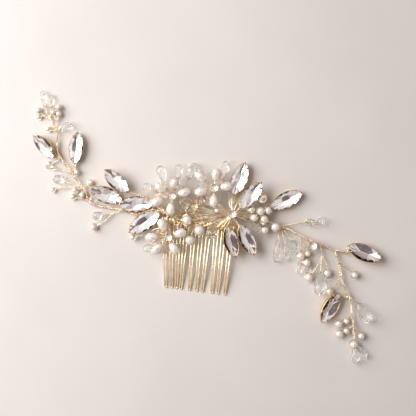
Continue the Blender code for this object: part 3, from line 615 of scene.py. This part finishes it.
def smooth_route(points, steps=ROUTE_STEPS):
    """Points on a smooth curve through the route's own points."""
    points = [Vector(p) for p in points]
    route = []
    for i in range(len(points) - 1):
        before = points[max(i - 1, 0)]
        start, end = points[i], points[i + 1]
        after = points[min(i + 2, len(points) - 1)]
        for step in range(steps):
            t = step / steps
            square = (2 * before - 5 * start + 4 * end - after) * t**2
            cube = (3 * start - before - 3 * end + after) * t**3
            route.append(0.5 * (2 * start + (end - before) * t + square + cube))
    route.append(points[-1])
    return route


def evenly(route, spacing):
    """The same route with points about this far apart."""
    lengths = [(b - a).length for a, b in zip(route, route[1:])]
    total = sum(lengths)
    count = max(2, round(total / spacing))
    points, i, passed = [], 0, 0.0
    for k in range(count + 1):
        target = total * k / count
        while i < len(lengths) - 1 and passed + lengths[i] < target:
            passed += lengths[i]
            i += 1
        share = (target - passed) / max(lengths[i], 1e-6)
        points.append(route[i].lerp(route[i + 1], min(share, 1.0)))
    return points


def cut_back(route, distance):
    """The route without its last stretch, ending this far from its last point."""
    end = route[-1]
    kept = [p for p in route if (p - end).length > distance]
    if not kept:
        ahead = (end - route[0]).normalized()
        return [end - ahead * (distance + STUB), end - ahead * distance]
    ahead = (end - kept[-1]).normalized()
    return kept + [end - ahead * distance]


def frames_along(points):
    """Each point with two directions across the route, turned as little as possible on the way."""
    across = None
    result = []
    for i, point in enumerate(points):
        ahead = (points[min(i + 1, len(points) - 1)] - points[max(i - 1, 0)]).normalized()
        across = ahead.orthogonal() if across is None else across - ahead * across.dot(ahead)
        across = across.normalized()
        result.append((point, across, ahead.cross(across)))
    return result


def tube(shape, points, radius, sides=WIRE_SIDES, slot=0):
    """A round wire through points, with rounded-off ends."""
    rings = []
    last = len(points) - 1
    for i, (point, across, side) in enumerate(frames_along(points)):
        thick = radius * (WIRE_END if i in (0, last) else 1.0)
        ring = []
        for k in range(sides):
            angle = 2 * pi * k / sides
            ring.append(point + (across * cos(angle) + side * sin(angle)) * thick)
        rings.append(ring)
    shape.loft(rings, slot)


def twist(shape, route, strands, wire, pitch, rng):
    """Strands of wire twisted round each other along a route, by hand and so not quite evenly."""
    orbit = wire / sin(pi / strands)
    phase = rng.uniform(0.0, 2 * pi)
    seed = rng.uniform(0.0, 100.0)
    frames = frames_along(evenly(route, pitch / TURN_STEPS))
    angles = [phase]
    for i in range(1, len(frames)):
        uneven = 1 + TWIST_UNEVEN * noise.noise((seed, i * 0.06, 0.0))
        angles.append(angles[-1] + 2 * pi / TURN_STEPS * uneven)
    for k in range(strands):
        points = []
        for angle, (point, across, side) in zip(angles, frames):
            turn = angle + 2 * pi * k / strands
            points.append(point + (across * cos(turn) + side * sin(turn)) * orbit)
        tube(shape, points, wire)


def coil(shape, route, radius, wire, pitch):
    """A wire wound closely round a route."""
    frames = frames_along(evenly(route, pitch / TURN_STEPS))
    points = []
    for i, (point, across, side) in enumerate(frames):
        angle = 2 * pi * i / TURN_STEPS
        points.append(point + (across * cos(angle) + side * sin(angle)) * radius)
    tube(shape, points, wire)


# ---- comb ----


def tooth_points(root, tip, root_height):
    """A hairpin: over the spine, down one side, round the loop at the tip, back up and over again."""
    along = (tip - root).normalized()
    across = Vector((-along.y, along.x))
    run = (tip - root).length
    loop = TOOTH_TIP_GAUGE / 2
    tip_height = TOOTH_WIRE / 2
    spine_edge = SPINE_WIDTH / 2 + GAP

    def side_point(t, sign):
        gauge = TOOTH_ROOT_GAUGE + (TOOTH_TIP_GAUGE - TOOTH_ROOT_GAUGE) * t
        flat = root + along * (run - loop) * t + across * (sign * gauge / 2)
        height = root_height + (tip_height - root_height) * t + TOOTH_ARCH * sin(pi * t)
        return Vector((flat.x, flat.y, height))

    def over_spine(sign):
        places = []
        for distance, height in OVER_SPINE:
            flat = root + along * (distance - spine_edge) + across * (sign * TOOTH_ROOT_GAUGE / 2)
            places.append(Vector((flat.x, flat.y, height)))
        return places

    down = over_spine(1) + [side_point(i / TOOTH_STEPS, 1) for i in range(1, TOOTH_STEPS + 1)]
    up = [side_point(i / TOOTH_STEPS, -1) for i in range(TOOTH_STEPS, 0, -1)] + over_spine(-1)[::-1]
    centre = root + along * (run - loop)
    bend = []
    for i in range(1, BEND_STEPS):
        angle = pi * i / BEND_STEPS
        flat = centre + along * (loop * sin(angle)) + across * (loop * cos(angle))
        bend.append(Vector((flat.x, flat.y, tip_height)))
    return down + bend + up


def make_comb():
    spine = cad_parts["comb_spine"]
    spine.data.materials.clear()
    # the spine takes the deeper setting gold, darker than the teeth: painted shade where it lies under the
    # flowers and wires
    spine.data.materials.append(SETTING_GOLD)
    spine_way = Vector((cos(radians(SPINE_ANGLE)), sin(radians(SPINE_ANGLE))))
    down_way = Vector((spine_way.y, -spine_way.x))
    root_height = SPINE_BACK_HEIGHT + SPINE_THICKNESS / 2
    reach = 0.0
    binding = Shape()
    for i in range(TOOTH_COUNT):
        reach += TIP_STEPS[i]
        middle = Vector(SPINE_LEFT) + spine_way * (TOOTH_PITCH * i)
        root = middle + down_way * (SPINE_WIDTH / 2 + GAP)
        tip = Vector(TIP_LEFT) + spine_way * reach
        tooth = Shape()
        tube(tooth, smooth_route(tooth_points(root, tip, root_height), 2), TOOTH_RADIUS, TOOTH_SIDES)
        name = f"comb_tooth_{i + 1:02d}"
        settle(tooth.piece(f"{name}_wire", [TOOTH_GOLD]), "comb", "gold_metal", name)
        wrap_spine(binding, middle, spine_way, down_way, root_height)
    settle(binding.piece("spine_binding", [WIRE_GOLD]), "comb", "gold_metal")


def wrap_spine(binding, middle, spine_way, down_way, height):
    """A few turns of thin wire round the spine between the two sides of a hairpin."""
    half_width = SPINE_WIDTH / 2 + BINDING_WIRE
    half_height = SPINE_THICKNESS / 2 + BINDING_WIRE
    count = BINDING_TURNS * BINDING_STEPS
    points = []
    for k in range(count + 1):
        angle = 2 * pi * k / BINDING_STEPS
        along = (k / count - 0.5) * BINDING_WIRE * BINDING_SPACING * BINDING_TURNS
        cosine, sine = cos(angle), sin(angle)
        wide = half_width * copysign(abs(cosine) ** 0.5, cosine)
        high = half_height * copysign(abs(sine) ** 0.5, sine)
        flat = middle + spine_way * along + down_way * wide
        points.append(Vector((flat.x, flat.y, height + high)))
    tube(binding, points, BINDING_WIRE)


# ---- stones and settings ----


def stand(place, turn, pitch=0.0, lean=0.0):
    """Where a piece modelled along +X with its back at z = 0 goes."""
    return (
        Matrix.Translation(place)
        @ Matrix.Rotation(radians(turn), 4, "Z")
        @ Matrix.Rotation(radians(pitch), 4, "Y")
        @ Matrix.Rotation(radians(lean), 4, "X")
    )


def navette(half_length, half_width):
    """A pointed oval outline: angle in degrees to a point on it."""

    def at(degrees):
        angle = radians(degrees)
        sine = sin(angle)
        across = half_width * copysign(abs(sine) ** POINTEDNESS, sine)
        return Vector((half_length * cos(angle), across, 0.0))

    return at


def circle(radius):
    def at(degrees):
        angle = radians(degrees)
        return Vector((radius * cos(angle), radius * sin(angle), 0.0))

    return at


def inward(outline, degrees):
    """The direction across the outline, towards its inside."""
    along = outline(degrees + 1) - outline(degrees - 1)
    return Vector((-along.y, along.x, 0.0)).normalized()


def cup(shape, outline, profile):
    """A cup's wall and floor, as rings that share an outline."""
    rings = []
    for share, height in profile:
        rings.append([outline(360 * i / OUTLINE_POINTS) * share + UP * height for i in range(OUTLINE_POINTS)])
    shape.loft(rings)


def claw(shape, outline, degrees, path, wire):
    """A prong that follows the wall up and bends in over the stone, with a rounded tip."""
    places = []
    for distance, height in path:
        places.append(outline(degrees) + inward(outline, degrees) * distance + UP * height)
    tube(shape, smooth_route(places, 4), wire, 8, slot=1)


def cut_stone(shape, outline, girdle, crown, depth, keel, rng):
    """A brilliant cut: table, star, kite and girdle facets in glass, and foil-backed facets below."""

    def ring(share_x, share_y, height, first):
        points = []
        for k in range(STONE_SIDES):
            place = outline(360 / STONE_SIDES * k + first)
            points.append(shape.point((place.x * share_x, place.y * share_y, height)))
        return points

    edge = girdle + STONE_EDGE
    table = ring(STONE_TABLE, STONE_TABLE, girdle + crown, 0)
    middle = ring(STONE_MIDDLE, STONE_MIDDLE, girdle + crown * STONE_MIDDLE_RISE, HALF_SIDE)
    top_even, top_odd = ring(1, 1, edge, 0), ring(1, 1, edge, HALF_SIDE)
    low_even, low_odd = ring(1, 1, girdle, 0), ring(1, 1, girdle, HALF_SIDE)
    waist = ring(STONE_WAIST, STONE_WAIST, girdle - depth * STONE_WAIST_DROP, HALF_SIDE)
    culet = ring(*keel, girdle - depth, 0)
    shape.face(table)
    shape.face(culet[::-1], 1)
    for k in range(STONE_SIDES):
        after = (k + 1) % STONE_SIDES
        # each lower facet gets bright foil, or grey or dark foil that paints a dark reflection into it
        back, left, right = (rng.choice(FOIL_AND_PAINTED_REFLECTION_MIX) for _ in range(3))
        shape.face((table[k], table[after], middle[k]))
        shape.face((table[k], middle[k], top_even[k], middle[k - 1]))
        shape.face((middle[k], top_even[k], top_odd[k]))
        shape.face((middle[k], top_odd[k], top_even[after]))
        shape.face((top_even[k], top_odd[k], low_odd[k], low_even[k]))
        shape.face((top_odd[k], top_even[after], low_even[after], low_odd[k]))
        shape.face((waist[k], low_even[k], low_odd[k]), left)
        shape.face((waist[k], low_odd[k], low_even[after]), right)
        shape.face((culet[k], waist[k - 1], low_even[k], waist[k]), back)
        shape.face((culet[k], culet[after], waist[k]), back)


def make_navettes():
    rng = random.Random(17)
    outline = navette(SETTING_HALF_LENGTH, SETTING_HALF_WIDTH)
    girdle = navette(STONE_HALF_LENGTH, STONE_HALF_WIDTH)
    for name, (place, turn, pitch, lean, size) in NAVETTES.items():
        where = stand(place, turn, pitch, lean) @ Matrix.Scale(size, 4)
        body = NAVETTE_BODIES.get(name, "comb")
        setting = Shape()
        cup(setting, outline, CUP_PROFILE)
        for degrees in CLAW_ANGLES:
            claw(setting, outline, degrees, CLAW_PATH, CLAW_WIRE)
        piece = setting.piece(f"{name}_cup", [SETTING_GOLD, CLAW_GOLD_PAINTED_SHADE], where, smooth=CUP_SMOOTH)
        settle(piece, body, "gold_metal", f"{name}_setting")
        stone = Shape()
        cut_stone(stone, girdle, STONE_GIRDLE, STONE_CROWN, STONE_DEPTH, STONE_KEEL, rng)
        piece = stone.piece(f"{name}_crystal", [CROWN_GLASS, *FOILS], where, smooth=None)
        settle(piece, body, "navette_crystal", f"{name}_stone")


def round_stone(name, place, radius, body, turn, *nodes):
    """A round stone in a small cup with a ring of claws."""
    where = stand(place, turn) @ Matrix.Scale(radius / HEART_RADIUS, 4)
    holder = Shape()
    outline = circle(HEART_RADIUS)
    cup(holder, outline, ROUND_CUP)
    for k in range(ROUND_CLAW_COUNT):
        claw(holder, outline, 360 * (k + 0.5) / ROUND_CLAW_COUNT, ROUND_CLAW, ROUND_CLAW_WIRE)
    piece = holder.piece(f"{name}_cup", [SETTING_GOLD, SETTING_GOLD], where, smooth=CUP_SMOOTH)
    settle(piece, body, "gold_metal", *nodes)
    stone = Shape()
    girdle = circle(ROUND_STONE_RADIUS)
    cut_stone(stone, girdle, ROUND_GIRDLE, ROUND_CROWN, ROUND_DEPTH, ROUND_KEEL, random.Random(name))
    piece = stone.piece(f"{name}_crystal", [CROWN_GLASS, *FOILS], where, smooth=None)
    settle(piece, body, "round_crystal", *nodes)


# ---- pearls and drops ----


def ball(shape, centre, axis, radius, seed, rings=14, segments=22):
    """A round pearl, a little uneven, with a dimple where the wire enters at each end of its axis."""
    across = axis.orthogonal().normalized()
    side = axis.cross(across)
    loops = []
    for i in range(rings + 1):
        polar = pi * (i + 0.5) / (rings + 1)
        dimple = PEARL_DIMPLE if i in (0, rings) else 0.0
        loop = []
        for k in range(segments):
            turn = 2 * pi * k / segments
            way = (across * cos(turn) + side * sin(turn)) * sin(polar) + axis * cos(polar)
            uneven = 1 + PEARL_UNEVEN * noise.noise(way * 1.6 + Vector((seed, 0.0, 0.0))) - dimple
            loop.append(centre + way * (radius * uneven))
        loops.append(loop)
    shape.loft(loops)


def rice_pearl(shape, seed, rings=22, segments=28):
    """A rice pearl along +X: fuller at its outer end, with faint growth rings and a dimple at each end."""
    loops = []
    for i in range(rings + 1):
        polar = pi * (1 - (i + 0.5) / (rings + 1))
        x = cos(polar)
        dimple = PETAL_DIMPLE if i in (0, rings) else 0.0
        full = (1 + PETAL_EGG * x) * (1 + PETAL_RINGS * sin(17 * x + seed))
        loop = []
        for k in range(segments):
            turn = 2 * pi * k / segments
            y, z = sin(polar) * cos(turn), sin(polar) * sin(turn)
            uneven = 1 + PETAL_UNEVEN * noise.noise(Vector((x * 1.2 + seed, y * 1.2, z * 1.2)))
            wide = y * full * uneven * PETAL_WIDTH / 2
            high = z * full * uneven * PETAL_THICKNESS / 2
            loop.append(Vector((x * (1 - dimple) * PETAL_LENGTH / 2, wide, high)))
        loops.append(loop)
    shape.loft(loops)


def drop_profile(length, width):
    return ROUND_BEAD if length < width * ROUND_BEAD_LIMIT else BRIOLETTE


def faceted(shape, centre, ahead, length, width, phase):
    """A glass drop or bead lying along a direction, cut with rows of triangular facets."""
    turn = UP.rotation_difference(ahead)
    loops = []
    for row, (reach, share) in enumerate(drop_profile(length, width)):
        loop = []
        for k in range(DROP_SIDES):
            angle = 2 * pi * (k + 0.5 * (row % 2)) / DROP_SIDES + phase
            radius = share * width / 2
            place = Vector((radius * cos(angle), radius * sin(angle), reach * length / 2))
            loop.append(shape.point(centre + turn @ place))
        loops.append(loop)
    for row, (low, high) in enumerate(zip(loops, loops[1:])):
        for k in range(DROP_SIDES):
            j = (k + 1) % DROP_SIDES
            if row % 2 == 0:
                shape.face((low[k], low[j], high[k]))
                shape.face((high[k], low[j], high[j]))
            else:
                shape.face((low[k], high[j], high[k]))
                shape.face((low[k], low[j], high[j]))
    shape.face(loops[0][::-1])
    shape.face(loops[-1])


def drop_half_width(reach, length, width):
    """Half of a drop's width at a share of half its length."""
    profile = drop_profile(length, width)
    for (low, low_share), (high, high_share) in zip(profile, profile[1:]):
        if low <= reach <= high:
            t = (reach - low) / (high - low)
            return (low_share + (high_share - low_share) * t) * width / 2
    return 0.0


def fork(wires, start, ahead, centre, side, back, half_width):
    """The two ends of a twist, which part round a bead and go into its sides."""
    hole = centre - ahead * back
    for sign in (-1, 1):
        out = side * sign
        places = (
            start - ahead * 0.5,  # inside the twist
            start + ahead * 0.12 + out * TWIG_WIRE,
            start.lerp(hole, 0.45) + out * (half_width * 0.78 + TWIG_WIRE),
            hole + out * (half_width + TWIG_WIRE * 1.1),  # beside the bead
            hole + out * (half_width - 0.35),  # in its side
        )
        tube(wires, smooth_route(places, 5), TWIG_WIRE)


def make_sprigs():
    rng = random.Random(11)
    for name, (sprigs, body) in SPRIGS.items():
        node = f"{name}_wires"
        wires, pearls, drops = Shape(), Shape(), Shape()
        stones = 0
        for points, bead in sprigs:
            kind, *sizes = bead or ("bare",)
            is_stem = bead is None or len(points) >= LONG_ROUTE
            route = smooth_route(points)
            centre = route[-1]
            ahead = (centre - route[-2]).normalized()
            side = ahead.cross(UP).normalized()
            if kind == "pearl":
                radius = sizes[0]
                route = cut_back(route, radius + PEARL_GAP)
                fork(wires, route[-1], ahead, centre, side, 0.0, radius)
                ball(pearls, centre, side, radius, rng.uniform(0.0, 50.0))
            elif kind == "drop":
                length, width = sizes
                route = cut_back(route, length / 2 + DROP_GAP)
                half = drop_half_width(-DROP_HOLE, length, width)
                fork(wires, route[-1], ahead, centre, side, DROP_HOLE * length / 2, half)
                faceted(drops, centre, ahead, length, width, rng.uniform(0.0, 1.0))
            draw_wire(wires, route, is_stem, rng)
            if kind == "stone":
                stones += 1
                round_stone(f"{name}_rhinestone_{stones}", centre, sizes[0], body, rng.uniform(0, 45), node)
        settle_wires(wires, f"{name}_twisted_wires", body, node)
        settle(pearls.piece(f"{name}_pearls", [ROUND_PEARL]), body, "round_pearl", node)
        settle(drops.piece(f"{name}_drops", [DROP_GLASS], smooth=None), body, "clear_bead", node)


def draw_wire(wires, route, is_stem, rng):
    """A twig is one twisted pair. A stem is two pairs that wind round each other."""
    if not is_stem:
        twist(wires, route, 2, TWIG_WIRE, TWIG_PITCH, rng)
        return
    frames = frames_along(evenly(route, 1.0))
    phase = rng.uniform(0.0, 2 * pi)
    for first in (phase, phase + pi):
        places = []
        for i, (point, across, side) in enumerate(frames):
            turn = first + i * STEM_TURN
            places.append(point + (across * cos(turn) + side * sin(turn)) * STEM_ORBIT)
        twist(wires, places, 2, STEM_WIRE, STEM_PITCH, rng)


def make_flowers():
    rng = random.Random(5)
    for name, (heart, petals) in FLOWERS.items():
        hub = Vector(heart)
        wires = Shape()
        for i, (turn, distance, height, pitch) in enumerate(petals, 1):
            x = heart[0] + distance * cos(radians(turn))
            y = heart[1] + distance * sin(radians(turn))
            where = stand((x, y, height), turn, pitch)
            petal = Shape()
            rice_pearl(petal, rng.uniform(0.0, 50.0))
            piece = petal.piece(f"{name}_rice_pearl_{i}", [RICE_PEARL], where)
            settle(piece, "comb", "rice_pearl", f"{name}_petal_{i}")
            petal_wire(wires, hub, where)
        settle_wires(wires, f"{name}_wires", "comb")
        round_stone(f"{name}_stone", heart, HEART_RADIUS, "comb", rng.uniform(0, 45), f"{name}_heart")
    round_stone("bloom_stone", BLOOM_HEART, HEART_RADIUS, "comb", 10, "bloom_heart")


def petal_wire(wires, hub, where):
    """A wire from the flower's middle into a petal, and its end, which shows at the petal's far end."""
    near = where @ Vector((-PETAL_LENGTH / 2, 0.0, 0.0))
    far = where @ Vector((PETAL_LENGTH / 2, 0.0, 0.0))
    outward = (far - near).normalized()
    under = hub + UP * 0.2
    route = (under, under.lerp(near, 0.6), near - outward * 0.2, near + outward * 0.6)
    tube(wires, smooth_route(route, 5), TWIG_WIRE)
    tube(wires, (far - outward * 0.6, far + outward * 0.05, far + outward * 0.3), TWIG_WIRE * 1.3)


# ---- wires round the bloom and the settings ----


def end_of(name, sign):
    """The middle of a setting's wall at one of its pointed ends."""
    place, turn, pitch, lean, size = NAVETTES[name]
    reach = sign * size * SETTING_HALF_LENGTH * HOLD_REACH
    return stand(place, turn, pitch, lean) @ Vector((reach, 0.0, HOLD_HEIGHT))


def make_setting_wires():
    rng = random.Random(3)
    shapes = {}
    for name, sign, target in SETTING_WIRES:
        shape = shapes.setdefault(NAVETTE_BODIES.get(name, "comb"), Shape())
        start, target = end_of(name, sign), Vector(target)
        for _ in range(SETTING_WIRE_COUNT):
            bow = Vector((rng.uniform(-0.7, 0.7), rng.uniform(-0.7, 0.7), rng.uniform(-0.2, 0.5)))
            places = (start, start.lerp(target, 0.5) + bow, target)
            twist(shape, smooth_route(places), 2, TWIG_WIRE, TWIG_PITCH, rng)
    for body, shape in shapes.items():
        settle_wires(shape, f"{body}_setting_wires", body)


def make_bloom():
    rng = random.Random(21)
    shape = Shape()
    heart = Vector(BLOOM_HEART)
    for first, last, count, reach, height, wire in BLOOM_FANS:
        for k in range(count):
            angle = radians(first + (last - first) * (k + rng.uniform(0.1, 0.9)) / count)
            length = reach * rng.uniform(0.82, 1.05)
            way = Vector((cos(angle), sin(angle), 0.0))
            bow = Vector((-way.y, way.x, 0.0)) * rng.uniform(-0.9, 0.9)
            end = Vector((heart.x, heart.y, height + rng.uniform(-0.3, 0.5))) + way * length
            start = heart + way * 1.2 + UP * 0.1
            middle = start.lerp(end, 0.5) + bow + UP * rng.uniform(0.2, 0.9)
            tube(shape, smooth_route((start, middle, end)), wire)
    settle_wires(shape, "bloom_fan_wires", "comb")


def make_nests():
    rng = random.Random(8)
    shape = Shape()
    for (x, y), count, shortest, longest, low, high in NESTS:
        for k in range(count):
            angle = 2 * pi * (k + rng.uniform(0.0, 0.8)) / count
            reach = rng.uniform(shortest, longest)
            curl = rng.choice((-1, 1)) * rng.uniform(0.5, 1.6)
            places = []
            for step in range(NEST_STEPS + 1):
                share = step / NEST_STEPS
                turn = angle + curl * share * share
                height = low + (high - low) * sin(pi * share) * rng.uniform(0.4, 1.0)
                places.append((x + cos(turn) * reach * share, y + sin(turn) * reach * share, height))
            if k % 3 == 0:
                twist(shape, smooth_route(places), 2, FINE_WIRE, TWIG_PITCH, rng)
            else:
                tube(shape, smooth_route(places, 5), FINE_WIRE)
    settle_wires(shape, "nest_wires", "comb")


def make_links():
    for name, (first, second, points) in LINKS.items():
        shape = Shape()
        route = smooth_route(points)
        tube(shape, evenly(route, LINK_CORE_STEP), LINK_CORE, LINK_CORE_SIDES)
        coil(shape, route, LINK_COIL_RADIUS, FINE_WIRE, LINK_COIL_PITCH)
        piece = shape.piece(name, [WIRE_GOLD])
        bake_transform(piece)


# ---- studio ----


def make_floor():
    mesh = bpy.data.meshes.new("floor")
    corners = [
        (x * FLOOR_REACH, y * FLOOR_REACH, FLOOR_HEIGHT) for x, y in ((-1, -1), (1, -1), (1, 1), (-1, 1))
    ]
    mesh.from_pydata(corners, [], [(0, 1, 2, 3)])
    mesh.materials.append(floor_material())
    add_object("floor", mesh)


def towards(tree, place, way):
    """How nearly a direction points a given way: 1 is straight at it."""
    dot = tree.nodes.new("ShaderNodeVectorMath")
    dot.operation = "DOT_PRODUCT"
    dot.inputs[1].default_value = way
    tree.links.new(place.outputs["Generated"], dot.inputs[0])
    return dot.outputs["Value"]


def make_world():
    """A room that is brighter towards its ceiling, with a window and something dark overhead."""
    world = bpy.data.worlds.new("studio")
    bpy.context.scene.world = world
    world.use_nodes = True
    tree = world.node_tree
    place = tree.nodes.new("ShaderNodeTexCoord")
    split = tree.nodes.new("ShaderNodeSeparateXYZ")
    tree.links.new(place.outputs["Generated"], split.inputs["Vector"])
    room = ramp_node(tree, split.outputs["Z"], ROOM_COLOURS)
    glow = ramp_node(tree, towards(tree, place, GLOW_WAY), GLOW_COLOURS)
    dark = ramp_node(tree, towards(tree, place, DARK_WAY), DARK_COLOURS)
    path = tree.nodes.new("ShaderNodeLightPath")
    lit = mix_node(tree, "ADD", 1.0, room, glow)
    seen = mix_node(tree, "MULTIPLY", 1.0, lit, dark)
    fill = mix_node(tree, "MIX", path.outputs["Is Diffuse Ray"], (1.0, 1.0, 1.0, 1.0), (*FILL_TINT, 1.0))
    background = tree.nodes["Background"]
    tree.links.new(mix_node(tree, "MULTIPLY", 1.0, seen, fill), background.inputs["Color"])
    set_inputs(background, {"Strength": WORLD_STRENGTH})


def make_light():
    data = bpy.data.lights.new("key", "AREA")
    data.shape = "SQUARE"
    data.size = KEY_SIZE
    data.energy = KEY_POWER
    data.color = KEY_COLOUR
    light = add_object("key", data)
    light.location = KEY_PLACE
    light.rotation_euler = (-Vector(KEY_PLACE)).to_track_quat("-Z", "Y").to_euler()


def make_camera():
    data = bpy.data.cameras.new("camera")
    data.lens = CAMERA_LENS
    data.clip_start = CAMERA_CLIP
    camera = add_object("camera", data)
    camera.location = CAMERA_PLACE
    bpy.context.scene.camera = camera


make_comb()
make_navettes()
make_flowers()
make_sprigs()
make_setting_wires()
make_bloom()
make_nests()
make_links()
make_floor()
make_world()
make_light()
make_camera()
bpy.context.scene.view_settings.view_transform = "Standard"
